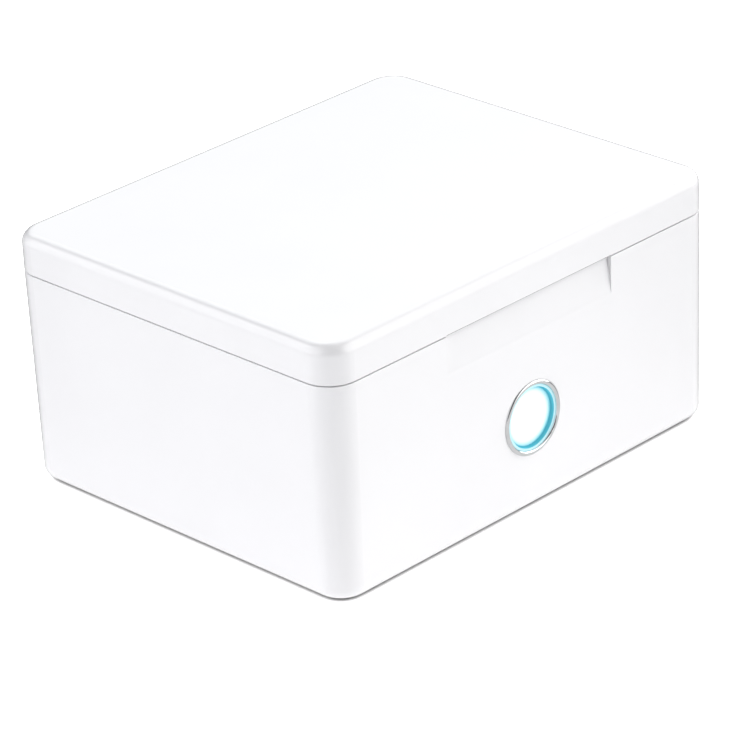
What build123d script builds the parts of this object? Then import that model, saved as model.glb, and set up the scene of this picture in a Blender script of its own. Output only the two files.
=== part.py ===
from build123d import *
from math import cos, radians, sin, sqrt, tan
import os

# Hearing aid dryer: a white case with a hinged lid, a lit push button in its front wall, and inside
# a drying chamber over a fan and a heater. Millimetres. The origin is under the middle of the case
# on the surface it stands on, +X is to the right seen from the front, -Y is the front and +Z is up.

os.makedirs("parts", exist_ok=True)

# Case, measured at the parting plane between the base and the lid
case_width = 125.0
case_depth = 102.3
base_height = 52.4
lid_height = 9.3
corner_radius = 7.4
base_edge_radius = 2.4
lid_edge_radius = 2.7
base_draft = 0.73
parting_gap = 0.3
parting_edge_round = 0.12
wall = 2.5

# Clearances: a seat, a moving pair, a screw's thread in its pilot hole and its shank in a plain hole
fit_gap = 0.15
moving_gap = 0.3
thread_gap = 0.05
shank_gap = 0.3

# Finger recess under the lid's front edge
recess_width = 54.0
recess_height = 9.0
recess_depth = 1.2

# Air outlet in the rear wall
vent_slot_width = 2.0
vent_slot_height = 14.0
vent_slot_pitch = 4.6
vent_slot_count = 9
vent_slot_z = 32.0

# Hinge
hinge_wall = 5.2
hinge_inset = 1.2
lid_open_angle = 100.0
stop_play = 3.0
hinge_spacing = 68.0
lid_knuckle = 8.0
base_knuckle = 7.0
knuckle_radius = 2.2
pin_radius = 0.9
pin_grip = 0.03
pin_clearance = 0.06

# Bottom cover with its air intake, and the feet
cover_thickness = 2.4
cover_rim = 3.0
cover_ledge = 0.8
cover_ledge_height = 1.2
intake_radius = 16.5
intake_slot_width = 2.4
intake_slot_pitch = 4.6
intake_rows = range(-3, 4)
skirt_wall = 1.2
foot_height = 0.6
foot_radius = 5.0
foot_recess = 1.0
foot_round = 0.3
foot_spacing_x = 92.0
foot_spacing_y = 74.0

# Legs and screws that clamp the case together
leg_radius = 3.2
leg_inset = 8.2
leg_pilot_depth = 12.0
case_screw_radius = 1.15
case_screw_length = 12.0
case_screw_head = 2.5
case_screw_head_height = 1.3
small_screw_radius = 0.85
small_screw_head = 1.8
small_screw_head_height = 1.2

# Screw heads: rounding and cross recess, as shares of the head's height and radius
head_round_share = 0.35
cross_length_share = 1.1
cross_width_share = 0.26
cross_depth_share = 0.6

# Inner deck on the base's rim ledge, and the drying chamber that hangs in it by its collar
deck_thickness = 2.4
deck_drop = 0.55
rim_ledge = 1.2
rim_ledge_height = 3.6
chamber_margin_x = 16.5
chamber_margin_y = 20.15
chamber_corner = 8.0
chamber_wall = 1.8
collar_width = 2.0
collar_thickness = 1.2
lip_height = 2.0
lip_wall = 1.4
outlet_slot_width = 2.2
outlet_slot_height = 8.0
outlet_slot_pitch = 5.5
outlet_slot_count = 7
magnet_holder_wall = 1.2

# Vent floor that the hearing aids lie on
vent_floor_ledge = 2.0
vent_floor_rise = 3.0
vent_floor_thickness = 1.6
floor_slot_length = 16.0
floor_slot_width = 2.4
floor_slot_pitch_x = 20.0
floor_slot_pitch_y = 5.2

# Fan in a standard square frame
fan_size = 40.0
fan_height = 10.0
fan_corner = 3.0
fan_rim = 1.25
fan_hole_inset = 4.0
fan_hole_radius = 1.7
fan_y = 4.0
fan_post_height = 3.0
fan_post_radius = 2.6
fan_pilot_depth = 4.5
fan_screw_radius = 1.3
fan_screw_head = 2.6
fan_screw_head_height = 1.8
hub_plate_radius = 9.6
hub_plate_thickness = 1.4
strut_width = 2.2
bearing_tube_radius = 3.0
bearing_tube_top = 7.4
bearing_radius = 1.8
bearing_grip = 0.02

# Fan motor: a four pole core with a coil on each arm, inside a ring magnet
stator_bottom = 3.2
stator_height = 3.0
stator_ring_radius = 4.2
stator_shoe_inner = 6.2
stator_radius = 7.3
stator_arm = 2.0
pole_gap = 2.0
shoe_bite = 0.25
coil_width = 3.8
coil_height = 4.2
magnet_ring_thickness = 1.15
magnet_ring_bottom = 2.6
magnet_ring_top = 7.6

# Fan impeller, heights counted from the frame's underside
hub_radius = 10.0
hub_wall = 1.1
hub_bottom = 2.2
hub_top = 9.2
hub_cap = 1.0
hub_boss_radius = 2.0
hub_boss_gap = 0.4
blade_count = 7
blade_tip_gap = 0.55
blade_chord = 9.0
blade_thickness = 0.9
blade_root_pitch = 44.0
blade_tip_pitch = 27.0
fan_shaft_radius = 0.75
running_gap = 0.03

# Air duct and heater
duct_height = 10.0
duct_flange_overhang = 1.0
duct_flange = 1.6
duct_overhang = 0.5
duct_wall = 1.5
heater_side_gap = 0.5
heater_depth = 27.0
heater_height = 4.5
heater_ledge_height = 2.2
heater_ledge_length = 24.0
heater_rim = 1.0
fin_rows = 3
fin_pitch = 2.6
fin_slot = 2.0
fin_web = 1.4
heater_bar = 1.8
bar_inset = 1.2
bar_corner = 0.2
fuse_radius = 1.1
fuse_length = 9.0

# Circuit boards
board_thickness = 1.6
board_corner = 1.0
board_post_height = 5.0
board_post_radius = 2.4
board_pilot_depth = 4.0
board_hole_inset = 3.0
leg_board_gap = 0.1
fan_board_gap = 3.3
main_board_length = 73.0
main_board_back_gap = 8.0
inverter_board_y = 1.0
inverter_board_width = 24.0
inverter_board_length = 50.0

# What stands on the main board, x counted from its middle and y from its front edge
chip_size = 9.0
chip_height = 1.5
chip_corner = 0.3
chip_place = (0, 24)
capacitor_radius = 3.4
capacitor_height = 9.5
capacitor_round = 0.6
capacitor_places = [(-7, 43), (-7, 52), (7, 42)]
buzzer_radius = 4.8
buzzer_height = 5.4
buzzer_hole_radius = 1.2
buzzer_hole_depth = 1.2
buzzer_place = (6, 10)
connector_width = 5.6
connector_length = 7.5
connector_height = 6.0
connector_inset = 3.6
connector_corner = 0.4
left_connector_rows = (14, 25, 34)
right_connector_row = 24
front_connector_place = (-2.5, 4.5)

# What stands on the inverter board
transformer_width = 15.0
transformer_length = 17.0
transformer_height = 10.5
transformer_corner = 1.0
inverter_connector_width = 8.0
inverter_connector_length = 5.6
inverter_connector_spacing = 32.0

# Power jack for a plug of 5.5 mm with a 2 mm centre contact
jack_width = 9.0
jack_height = 11.0
jack_length = 13.0
jack_axis_height = 6.5
jack_nose_radius = 4.1
jack_wall_gap = 0.4
jack_bore_radius = 3.15
jack_bore_depth = 9.5
jack_contact_radius = 1.0
jack_contact_length = 8.0
jack_contact_round = 0.25
jack_recess = 0.3

# Ultraviolet lamp behind the chamber
lamp_radius = 2.5
lamp_glass = 0.6
lamp_cap_rise = 0.25
lamp_cap_length = 6.0
lamp_channel_margin = 10.0
lamp_channel_depth = 8.7
lamp_channel_gap = 0.8
lamp_drop = 6.7
lamp_holder_width = 3.4
lamp_holder_wall = 0.95
lamp_holder_corner = 1.0
lamp_insertion = 1.5
reflector_gap = 1.4
reflector_sheet = 0.4

# Power button, sized from the threaded barrel that passes the front wall
button_drop = 30.2
barrel_radius = 8.5
barrel_wall = 0.6
barrel_length = 9.5
bezel_lip = 0.5
bezel_proud = 0.5
bezel_outer_round = 0.45
bezel_inner_round = 0.45
nut_margin = 2.8
nut_thickness = 2.5
nut_pad_margin = 0.2
light_ring_thickness = 0.55
light_ring_sink = 0.5
light_ring_length = 5.2
cap_sink = 1.2
cap_wall = 1.2
cap_length = 5.6
cap_flange = 0.8
cap_round = 0.3
button_travel = 0.6
stem_radius = 1.6

# Switch, lamps and connector on the board behind the button
switch_size = 6.2
switch_height = 3.5
switch_corner = 0.5
plunger_radius = 1.75
plunger_rise = 1.1
plunger_length = 2.3
button_board_thickness = 1.2
led_count = 6
led_inset = 1.3
led_width = 1.2
led_length = 2.0
led_height = 0.7
button_connector_width = 7.0
button_connector_height = 4.4
button_connector_depth = 3.0

# Lid fittings, magnets and the sensor that notices the open lid
liner_thickness = 1.2
liner_headroom = 0.5
seal_thickness = 1.2
seal_width = 2.8
lid_reflector_inset = 1.0
lid_boss_radius = 2.4
lid_boss_inset = 8.5
lid_screw_depth = 3.4
magnet_radius = 4.0
magnet_height = 2.0
magnet_x = 40.0
magnet_y_inset = 10.2
sensor_magnet_radius = 2.5
hall_width = 4.0
hall_thickness = 1.6
hall_height = 3.0
hall_corner = 0.2

# Leads between the boards and what they serve
lead_radius = 0.65
wire_radius = 0.5
lead_hole_gap = 0.3
lead_run_share = 0.45

# Heights of the main levels
underside = foot_height
cover_top = underside + cover_thickness
cover_ledge_top = cover_top + cover_ledge_height
parting = underside + base_height
base_top = parting - parting_gap / 2
lid_bottom = parting + parting_gap / 2
lid_top = parting + lid_height
lid_ceiling = lid_top - wall
deck_top = base_top - deck_drop
deck_bottom = deck_top - deck_thickness
rim_ledge_bottom = deck_bottom - rim_ledge_height
lip_top = deck_top + lip_height
fan_bottom = cover_top + fan_post_height
fan_top = fan_bottom + fan_height
heater_bottom = fan_top + duct_flange + heater_ledge_height
heater_top = heater_bottom + heater_height
heater_lead_z = heater_bottom + heater_height / 2
tub_bottom = fan_top + duct_height
tub_floor = tub_bottom + chamber_wall
vent_ledge = tub_floor + vent_floor_rise
board_bottom = cover_top + board_post_height
board_top = board_bottom + board_thickness
connector_top = board_top + connector_height
jack_z = board_top + jack_axis_height
lamp_z = deck_bottom - lamp_drop
seal_bottom = lip_top + moving_gap
liner_bottom = seal_bottom + seal_thickness
liner_top = liner_bottom + liner_thickness
pan_top = lid_ceiling - liner_headroom
pan_bottom = pan_top - liner_thickness

# Sizes that follow from others
chamber_width = case_width - 2 * chamber_margin_x
chamber_depth = case_depth - 2 * chamber_margin_y
fan_bore_radius = fan_size / 2 - fan_rim
fan_hole_spacing = fan_size - 2 * fan_hole_inset
blade_tip_radius = fan_bore_radius - blade_tip_gap
duct_outer = fan_size + 2 * duct_overhang
duct_inner = duct_outer - 2 * duct_wall
heater_width = duct_inner - 2 * heater_side_gap
heater_row_pitch = heater_depth / fin_rows
bar_length = heater_width - 2 * bar_inset
lamp_cap_radius = lamp_radius + lamp_cap_rise
reflector_radius = lamp_radius + reflector_gap
lamp_channel_height = 2 * (reflector_radius + reflector_sheet + lamp_channel_gap)
lamp_channel_length = chamber_width - 2 * lamp_channel_margin
lamp_channel_bottom = lamp_z - lamp_channel_height / 2
bezel_radius = barrel_radius + bezel_lip
bezel_bore = barrel_radius - barrel_wall
nut_radius = barrel_radius + nut_margin
nut_pad_radius = nut_radius + nut_pad_margin
light_ring_outer = bezel_bore - thread_gap
light_ring_inner = light_ring_outer - light_ring_thickness
cap_radius = light_ring_inner - moving_gap

# Places that several pieces share
hinge_y = case_depth / 2 - hinge_inset
hinge_z = parting
hinge_places = (-hinge_spacing / 2, hinge_spacing / 2)
leg_x = case_width / 2 - leg_inset
leg_front_y = -case_depth / 2 + leg_inset
leg_rear_y = case_depth / 2 - hinge_wall - rim_ledge - leg_radius - moving_gap
leg_places = [(x, y) for x in (-leg_x, leg_x) for y in (leg_front_y, leg_rear_y)]
foot_places = [
    (x, y)
    for x in (-foot_spacing_x / 2, foot_spacing_x / 2)
    for y in (-foot_spacing_y / 2, foot_spacing_y / 2)
]
fan_holes = [
    (x, fan_y + y)
    for x in (-fan_hole_spacing / 2, fan_hole_spacing / 2)
    for y in (-fan_hole_spacing / 2, fan_hole_spacing / 2)
]
bar_places = [(0, fan_y - heater_row_pitch / 2), (0, fan_y + heater_row_pitch / 2)]
magnet_y = -case_depth / 2 + magnet_y_inset
magnet_places = [(-magnet_x, magnet_y), (magnet_x, magnet_y)]
lid_boss_places = [
    (x, y)
    for x in (-case_width / 2 + lid_boss_inset, case_width / 2 - lid_boss_inset)
    for y in (-case_depth / 2 + lid_boss_inset, leg_rear_y)
]
lamp_y = chamber_depth / 2 + lamp_channel_depth - reflector_radius - reflector_sheet
holder_inner = lamp_channel_length / 2 - lamp_holder_width
lamp_end = holder_inner + lamp_insertion

# The main board fills the space between the fan and the legs, the inverter board lies on the other side
board_outer_x = leg_x - leg_radius - leg_board_gap
main_board_left = fan_size / 2 + skirt_wall + fan_board_gap
main_board_width = board_outer_x - main_board_left
main_board_x = (board_outer_x + main_board_left) / 2
main_board_rear = case_depth / 2 - main_board_back_gap
main_board_front = main_board_rear - main_board_length
inverter_board_x = inverter_board_width / 2 - board_outer_x
main_board_holes = [
    (x, y)
    for x in (main_board_left + board_hole_inset, board_outer_x - board_hole_inset)
    for y in (main_board_front + board_hole_inset, main_board_rear - jack_length)
]
inverter_board_holes = [
    (inverter_board_x + x, inverter_board_y + y)
    for x in (
        -inverter_board_width / 2 + board_hole_inset,
        inverter_board_width / 2 - board_hole_inset,
    )
    for y in (
        -inverter_board_length / 2 + board_hole_inset,
        inverter_board_length / 2 - board_hole_inset,
    )
]
board_holes = main_board_holes + inverter_board_holes
connector_places = [
    (main_board_left + connector_inset, main_board_front + row) for row in left_connector_rows
] + [
    (board_outer_x - connector_inset, main_board_front + right_connector_row),
    (main_board_x + front_connector_place[0], main_board_front + front_connector_place[1]),
]
button_socket, fan_socket, heater_socket, sensor_socket, inverter_socket = connector_places
inverter_connector_places = [
    (inverter_board_x, inverter_board_y - inverter_connector_spacing / 2),
    (inverter_board_x, inverter_board_y + inverter_connector_spacing / 2),
]


def lean(height):
    """How far the drafted base wall stands inside its top outline at this height."""
    return tan(radians(base_draft)) * (base_top - height)


def case_outline(inset):
    """The case's outline, this far inside the outer size."""
    RectangleRounded(case_width - 2 * inset, case_depth - 2 * inset, corner_radius - inset)


def seat_outline(inset):
    """The outline inside the walls at the parting plane, in front of the thick hinge wall."""
    with Locations((0, (wall - hinge_wall) / 2)):
        RectangleRounded(
            case_width - 2 * (wall + inset),
            case_depth - wall - hinge_wall - 2 * inset,
            corner_radius - wall - inset,
        )


def chamber_outline(growth, mode=Mode.ADD):
    """The chamber's inner outline, grown by this much on each side."""
    RectangleRounded(
        chamber_width + 2 * growth,
        chamber_depth + 2 * growth,
        chamber_corner + growth,
        mode=mode,
    )


def hinge_bevel(side):
    """Wedge along the rear edge that lets the lid lean back; side is 1 on the lid, -1 on the base."""
    half_angle = radians((lid_open_angle + stop_play) / 2)
    reach = 4 * hinge_inset
    with BuildPart() as wedge:
        with BuildSketch(Plane.YZ.offset(-case_width / 2)):
            with BuildLine():
                Polyline(
                    (hinge_y, hinge_z),
                    (hinge_y + reach * cos(half_angle), hinge_z + side * reach * sin(half_angle)),
                    (hinge_y + reach, hinge_z - side * parting_gap),
                    (hinge_y, hinge_z - side * parting_gap),
                    close=True,
                )
            make_face()
        extrude(amount=case_width)
    return wedge.part


def hinge_barrels(radius, start, length):
    """Cylinders on the hinge axis, one for each hinge, from start to start + length beside its middle."""
    with BuildPart() as barrels:
        for middle in hinge_places:
            with BuildSketch(Plane.YZ.offset(middle + start)):
                with Locations((hinge_y, hinge_z)):
                    Circle(radius)
            extrude(amount=length)
    return barrels.part


def pan_head_screws(places, seat, upward, head_radius, head_height, shank_radius, length):
    """Pan head screws with a cross recess, heads against the seat height, driven up or down."""
    drive = 1 if upward else -1
    cross_length = cross_length_share * head_radius
    cross_width = cross_width_share * head_radius
    with BuildPart() as screws:
        with BuildSketch(Plane.XY.offset(seat)):
            with Locations(*places):
                Circle(head_radius)
        extrude(amount=-drive * head_height)
        outer_face = Plane.XY.offset(seat - drive * head_height)
        rims = screws.edges().filter_by_position(Axis.Z, outer_face.origin.Z, outer_face.origin.Z)
        fillet(rims, head_round_share * head_height)
        with BuildSketch(Plane.XY.offset(seat)):
            with Locations(*places):
                Circle(shank_radius)
        extrude(amount=drive * length)
        with BuildSketch(outer_face):
            with Locations(*places):
                Rectangle(cross_length, cross_width)
                Rectangle(cross_width, cross_length)
        extrude(amount=drive * cross_depth_share * head_height, mode=Mode.SUBTRACT)
    return screws.part


def blocks(places, width, depth, bottom, height, corner):
    """Moulded blocks with softened upright edges, one at each place, standing on the bottom height."""
    with BuildPart() as group:
        with BuildSketch(Plane.XY.offset(bottom)):
            with Locations(*places):
                RectangleRounded(width, depth, corner)
        extrude(amount=height)
    return group.part


def on_main_board(place):
    """The point at this place on the main board: x from its middle, y from its front edge."""
    return (main_board_x + place[0], main_board_front + place[1])


def lead(points, radius):
    """Round lead along these points, its corners rounded as widely as their runs allow."""
    corner_radii = []
    for before, corner, after in zip(points, points[1:], points[2:]):
        run_in = Vector(corner) - Vector(before)
        run_out = Vector(after) - Vector(corner)
        shorter = min(run_in.length, run_out.length)
        turn = radians(run_in.get_angle(run_out))
        corner_radii.append(lead_run_share * shorter / tan(turn / 2))
    with BuildPart() as tube:
        with BuildLine() as route:
            FilletPolyline(*points, radius=corner_radii)
        with BuildSketch(Plane(route.line @ 0, z_dir=route.line % 0)):
            Circle(radius)
        sweep()
    return tube.part


# Button places: depth is counted inward from the plane that the bezel seats on
button_z = parting - button_drop
bezel_seat_y = -case_depth / 2 + lean(button_z - bezel_radius)
nut_seat_y = -case_depth / 2 + wall + lean(button_z - nut_pad_radius)


def button_plane(depth):
    """Plane across the button's axis, facing inward."""
    return Plane((0, bezel_seat_y + depth, button_z), x_dir=(-1, 0, 0), z_dir=(0, 1, 0))


# Base shell
base_bevel = hinge_bevel(-1)
lid_knuckle_relief = hinge_barrels(
    knuckle_radius + moving_gap, -lid_knuckle / 2 - moving_gap, lid_knuckle + 2 * moving_gap
)
base_barrel_start = lid_knuckle / 2 + moving_gap
base_barrels = [
    hinge_barrels(knuckle_radius, -base_barrel_start - base_knuckle, base_knuckle),
    hinge_barrels(knuckle_radius, base_barrel_start, base_knuckle),
]
hinge_length = 2 * (base_barrel_start + base_knuckle)
base_pin_bore = hinge_barrels(pin_radius + pin_grip, -hinge_length / 2, hinge_length)

with BuildPart() as base_shell:
    with BuildSketch(Plane.XY.offset(base_top)):
        case_outline(0)
    extrude(amount=-(base_top - underside), taper=base_draft)
    fillet(base_shell.edges().group_by(Axis.Z)[0], base_edge_radius)
    fillet(base_shell.edges().group_by(Axis.Z)[-1], parting_edge_round)
    with BuildSketch(Plane.XY.offset(base_top)):
        seat_outline(0)
    extrude(amount=deck_bottom - base_top, mode=Mode.SUBTRACT)
    with BuildSketch(Plane.XY.offset(deck_bottom)):
        seat_outline(rim_ledge)
    extrude(amount=rim_ledge_bottom - deck_bottom, mode=Mode.SUBTRACT)
    with BuildSketch(Plane.XY.offset(rim_ledge_bottom)):
        case_outline(wall + lean(rim_ledge_bottom))
    extrude(
        amount=-(rim_ledge_bottom - cover_ledge_top), taper=base_draft, mode=Mode.SUBTRACT
    )
    with BuildSketch(Plane.XY.offset(cover_ledge_top)):
        case_outline(cover_rim + cover_ledge + lean(cover_top))
    extrude(amount=-cover_ledge_height, mode=Mode.SUBTRACT)
    with BuildSketch(Plane.XY.offset(cover_top)):
        case_outline(cover_rim + lean(cover_top))
    extrude(amount=-cover_thickness, mode=Mode.SUBTRACT)
    # Finger recess, deepest at the parting edge and running out below
    recess_bottom = base_top - recess_height
    with BuildSketch(Plane.YZ.offset(-recess_width / 2)):
        with BuildLine():
            Polyline(
                (-case_depth / 2 - recess_depth, base_top),
                (-case_depth / 2 + recess_depth, base_top),
                (-case_depth / 2 + lean(recess_bottom), recess_bottom),
                (-case_depth / 2 - recess_depth, recess_bottom),
                close=True,
            )
        make_face()
    extrude(amount=recess_width, mode=Mode.SUBTRACT)
    # Flat pad behind the button hole, then the hole and the bezel's flat seat
    with BuildSketch(Plane.XZ.offset(-nut_seat_y)):
        with Locations((0, button_z)):
            Circle(nut_pad_radius)
    extrude(amount=wall / 2)
    with BuildSketch(Plane.XZ.offset(-nut_seat_y)):
        with Locations((0, button_z)):
            Circle(barrel_radius + fit_gap)
    extrude(amount=2 * wall, mode=Mode.SUBTRACT)
    with BuildSketch(Plane.XZ.offset(-bezel_seat_y)):
        with Locations((0, button_z)):
            Circle(bezel_radius + fit_gap)
    extrude(amount=wall, mode=Mode.SUBTRACT)
    # Rear wall: outlet slots and the jack's hole
    with BuildSketch(Plane.XZ.offset(-case_depth / 2)):
        with Locations((0, vent_slot_z)):
            with GridLocations(vent_slot_pitch, 0, vent_slot_count, 1):
                SlotOverall(vent_slot_height, vent_slot_width, rotation=90)
        with Locations((main_board_x, jack_z)):
            Circle(jack_nose_radius + fit_gap)
    extrude(amount=2 * wall, mode=Mode.SUBTRACT)
    # Hinge: bevel for the open lid, room for its knuckles, and the base's own knuckles
    add(base_bevel, mode=Mode.SUBTRACT)
    add(lid_knuckle_relief, mode=Mode.SUBTRACT)
    add(base_barrels)
    add(base_pin_bore, mode=Mode.SUBTRACT)
base_shell.part.label = "base_shell"
export_step(base_shell.part, "parts/base_shell.step")

# Hinge pins
with BuildPart() as hinge_pins:
    add(hinge_barrels(pin_radius, -hinge_length / 2, hinge_length))
hinge_pins.part.label = "hinge_pins"
export_step(hinge_pins.part, "parts/hinge_pins.step")

# Bottom cover, with an intake grille whose slots fill a circle under the fan
with BuildPart() as bottom_cover:
    with BuildSketch(Plane.XY.offset(underside)):
        case_outline(cover_rim + lean(cover_top) + fit_gap)
    extrude(amount=cover_thickness)
    # Skirt that leads the air into the fan, and the posts
    with BuildSketch(Plane.XY.offset(cover_top)):
        with Locations((0, fan_y)):
            Rectangle(fan_size + 2 * skirt_wall, fan_size + 2 * skirt_wall)
            Rectangle(fan_size, fan_size, mode=Mode.SUBTRACT)
        with Locations(*fan_holes):
            Circle(fan_post_radius)
    extrude(amount=fan_post_height)
    with BuildSketch(Plane.XY.offset(cover_top)):
        with Locations(*board_holes):
            Circle(board_post_radius)
    extrude(amount=board_post_height)
    with Locations(*[(x, y, fan_bottom) for x, y in fan_holes]):
        Hole(fan_screw_radius + thread_gap, fan_pilot_depth)
    with Locations(*[(x, y, board_bottom) for x, y in board_holes]):
        Hole(small_screw_radius + thread_gap, board_pilot_depth)
    # Intake slots, foot recesses and counterbored screw holes
    with BuildSketch(Plane.XY.offset(cover_top)):
        for row in intake_rows:
            row_y = row * intake_slot_pitch
            with Locations((0, fan_y + row_y)):
                SlotOverall(2 * sqrt(intake_radius**2 - row_y**2), intake_slot_width)
    extrude(amount=-cover_thickness, mode=Mode.SUBTRACT)
    with BuildSketch(Plane.XY.offset(underside)):
        with Locations(*foot_places):
            Circle(foot_radius + fit_gap)
    extrude(amount=foot_recess, mode=Mode.SUBTRACT)
    with Locations(*[Plane((x, y, underside), z_dir=(0, 0, -1)) for x, y in leg_places]):
        CounterBoreHole(
            case_screw_radius + shank_gap,
            case_screw_head + shank_gap,
            case_screw_head_height,
            cover_thickness,
        )
bottom_cover.part.label = "bottom_cover"
export_step(bottom_cover.part, "parts/bottom_cover.step")

# Rubber feet
with BuildPart() as rubber_feet:
    with BuildSketch():
        with Locations(*foot_places):
            Circle(foot_radius)
    extrude(amount=foot_height + foot_recess)
    fillet(rubber_feet.edges().group_by(Axis.Z)[0], foot_round)
rubber_feet.part.label = "rubber_feet"
export_step(rubber_feet.part, "parts/rubber_feet.step")

# Case screws
with BuildPart() as case_screws:
    add(
        pan_head_screws(
            leg_places,
            underside + case_screw_head_height,
            True,
            case_screw_head,
            case_screw_head_height,
            case_screw_radius,
            case_screw_length,
        )
    )
case_screws.part.label = "case_screws"
export_step(case_screws.part, "parts/case_screws.step")

# Inner deck: the plate on the base's rim ledge, with the legs and the holders for the magnets
with BuildPart() as inner_deck:
    with BuildSketch(Plane.XY.offset(deck_bottom)):
        seat_outline(fit_gap)
        chamber_outline(chamber_wall + fit_gap, mode=Mode.SUBTRACT)
    extrude(amount=deck_thickness)
    with BuildSketch(Plane.XY.offset(cover_top)):
        with Locations(*leg_places):
            Circle(leg_radius)
    extrude(amount=deck_bottom - cover_top)
    with BuildSketch(Plane.XY.offset(deck_bottom)):
        with Locations(*magnet_places):
            Circle(magnet_radius + fit_gap + magnet_holder_wall)
            Circle(magnet_radius + fit_gap, mode=Mode.SUBTRACT)
    extrude(amount=-magnet_height)
    with BuildSketch(Plane.XY.offset(cover_top)):
        with Locations(*leg_places):
            Circle(case_screw_radius + thread_gap)
    extrude(amount=leg_pilot_depth, mode=Mode.SUBTRACT)
inner_deck.part.label = "inner_deck"
export_step(inner_deck.part, "parts/inner_deck.step")

# Drying chamber: a tub with a collar that lies on the deck and a lip that meets the lid's seal
with BuildPart() as drying_chamber:
    with BuildSketch(Plane.XY.offset(tub_bottom)):
        chamber_outline(chamber_wall)
    extrude(amount=deck_top - tub_bottom)
    with BuildSketch(Plane.XY.offset(deck_top)):
        chamber_outline(chamber_wall + collar_width)
    extrude(amount=collar_thickness)
    with BuildSketch(Plane.XY.offset(deck_top)):
        chamber_outline(lip_wall)
    extrude(amount=lip_height)
    # The hollow: above the vent floor's ledge, below it, and the way up from the duct
    with BuildSketch(Plane.XY.offset(vent_ledge)):
        chamber_outline(0)
    extrude(amount=lip_top - vent_ledge, mode=Mode.SUBTRACT)
    with BuildSketch(Plane.XY.offset(tub_floor)):
        chamber_outline(-vent_floor_ledge)
    extrude(amount=vent_floor_rise, mode=Mode.SUBTRACT)
    with BuildSketch(Plane.XY.offset(tub_bottom)):
        with Locations((0, fan_y)):
            Rectangle(duct_inner, duct_inner)
    extrude(amount=chamber_wall, mode=Mode.SUBTRACT)
    # Window for the lamp in the rear wall, and outlet slots in both side walls
    with BuildSketch(Plane.XY.offset(lamp_channel_bottom)):
        with Locations((0, chamber_depth / 2)):
            Rectangle(lamp_channel_length, 4 * chamber_wall)
    extrude(amount=lamp_channel_height, mode=Mode.SUBTRACT)
    with BuildSketch(Plane.YZ.offset(-case_width / 2)):
        with Locations((0, lamp_z)):
            with GridLocations(outlet_slot_pitch, 0, outlet_slot_count, 1):
                SlotOverall(outlet_slot_height, outlet_slot_width, rotation=90)
    extrude(amount=case_width, mode=Mode.SUBTRACT)
drying_chamber.part.label = "drying_chamber"
export_step(drying_chamber.part, "parts/drying_chamber.step")

# Lamp housing: a tray on the rear of the chamber, open towards its window
lamp_housing_front = chamber_depth / 2 + chamber_wall
lamp_housing_bottom = lamp_channel_bottom - chamber_wall
lamp_channel_rear = chamber_depth / 2 + lamp_channel_depth

with BuildPart() as lamp_housing:
    with BuildSketch(Plane.XY.offset(lamp_housing_bottom)):
        with Locations((0, lamp_housing_front)):
            Rectangle(
                lamp_channel_length + 2 * chamber_wall,
                lamp_channel_rear + chamber_wall - lamp_housing_front,
                align=(Align.CENTER, Align.MIN),
            )
    extrude(amount=deck_bottom - fit_gap - lamp_housing_bottom)
    with BuildSketch(Plane.XY.offset(lamp_channel_bottom)):
        with Locations((0, lamp_housing_front)):
            Rectangle(
                lamp_channel_length,
                lamp_channel_rear - lamp_housing_front,
                align=(Align.CENTER, Align.MIN),
            )
    extrude(amount=lamp_channel_height, mode=Mode.SUBTRACT)
    # Holes for the leads in both ends
    with BuildSketch(Plane.YZ.offset(-case_width / 2)):
        with Locations((lamp_y, lamp_z)):
            Circle(wire_radius + lead_hole_gap)
    extrude(amount=case_width, mode=Mode.SUBTRACT)
lamp_housing.part.label = "lamp_housing"
export_step(lamp_housing.part, "parts/lamp_housing.step")

# Vent floor that the hearing aids lie on
floor_slot_columns = int((chamber_width - chamber_corner) // floor_slot_pitch_x)
floor_slot_rows = int((chamber_depth - chamber_corner) // floor_slot_pitch_y)

with BuildPart() as vent_floor:
    with BuildSketch(Plane.XY.offset(vent_ledge)):
        chamber_outline(-fit_gap)
        with GridLocations(
            floor_slot_pitch_x, floor_slot_pitch_y, floor_slot_columns, floor_slot_rows
        ):
            SlotOverall(floor_slot_length, floor_slot_width, mode=Mode.SUBTRACT)
    extrude(amount=vent_floor_thickness)
vent_floor.part.label = "vent_floor"
export_step(vent_floor.part, "parts/vent_floor.step")

# Ultraviolet lamp: glass tube, end caps, holders and the reflector behind it
glass_half = lamp_end - lamp_cap_length

with BuildPart() as uv_lamp:
    with BuildSketch(Plane.YZ.offset(-glass_half)):
        with Locations((lamp_y, lamp_z)):
            Circle(lamp_radius)
            Circle(lamp_radius - lamp_glass, mode=Mode.SUBTRACT)
    extrude(amount=2 * glass_half)
uv_lamp.part.label = "uv_lamp"
export_step(uv_lamp.part, "parts/uv_lamp.step")

with BuildPart() as lamp_caps:
    for start in (-lamp_end, glass_half):
        with BuildSketch(Plane.YZ.offset(start)):
            with Locations((lamp_y, lamp_z)):
                Circle(lamp_cap_radius)
        extrude(amount=lamp_cap_length)
lamp_caps.part.label = "lamp_caps"
export_step(lamp_caps.part, "parts/lamp_caps.step")

holder_size = 2 * (lamp_cap_radius + lamp_holder_wall)
with BuildPart() as lamp_holders:
    for start in (-lamp_channel_length / 2, holder_inner):
        with BuildSketch(Plane.YZ.offset(start)):
            with Locations((lamp_y, lamp_z)):
                RectangleRounded(holder_size, holder_size, lamp_holder_corner)
                Circle(wire_radius + lead_hole_gap, mode=Mode.SUBTRACT)
        extrude(amount=lamp_holder_width)
    for start in (-lamp_end, holder_inner):
        with BuildSketch(Plane.YZ.offset(start)):
            with Locations((lamp_y, lamp_z)):
                Circle(lamp_cap_radius + thread_gap)
        extrude(amount=lamp_insertion, mode=Mode.SUBTRACT)
lamp_holders.part.label = "lamp_holders"
export_step(lamp_holders.part, "parts/lamp_holders.step")

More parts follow.
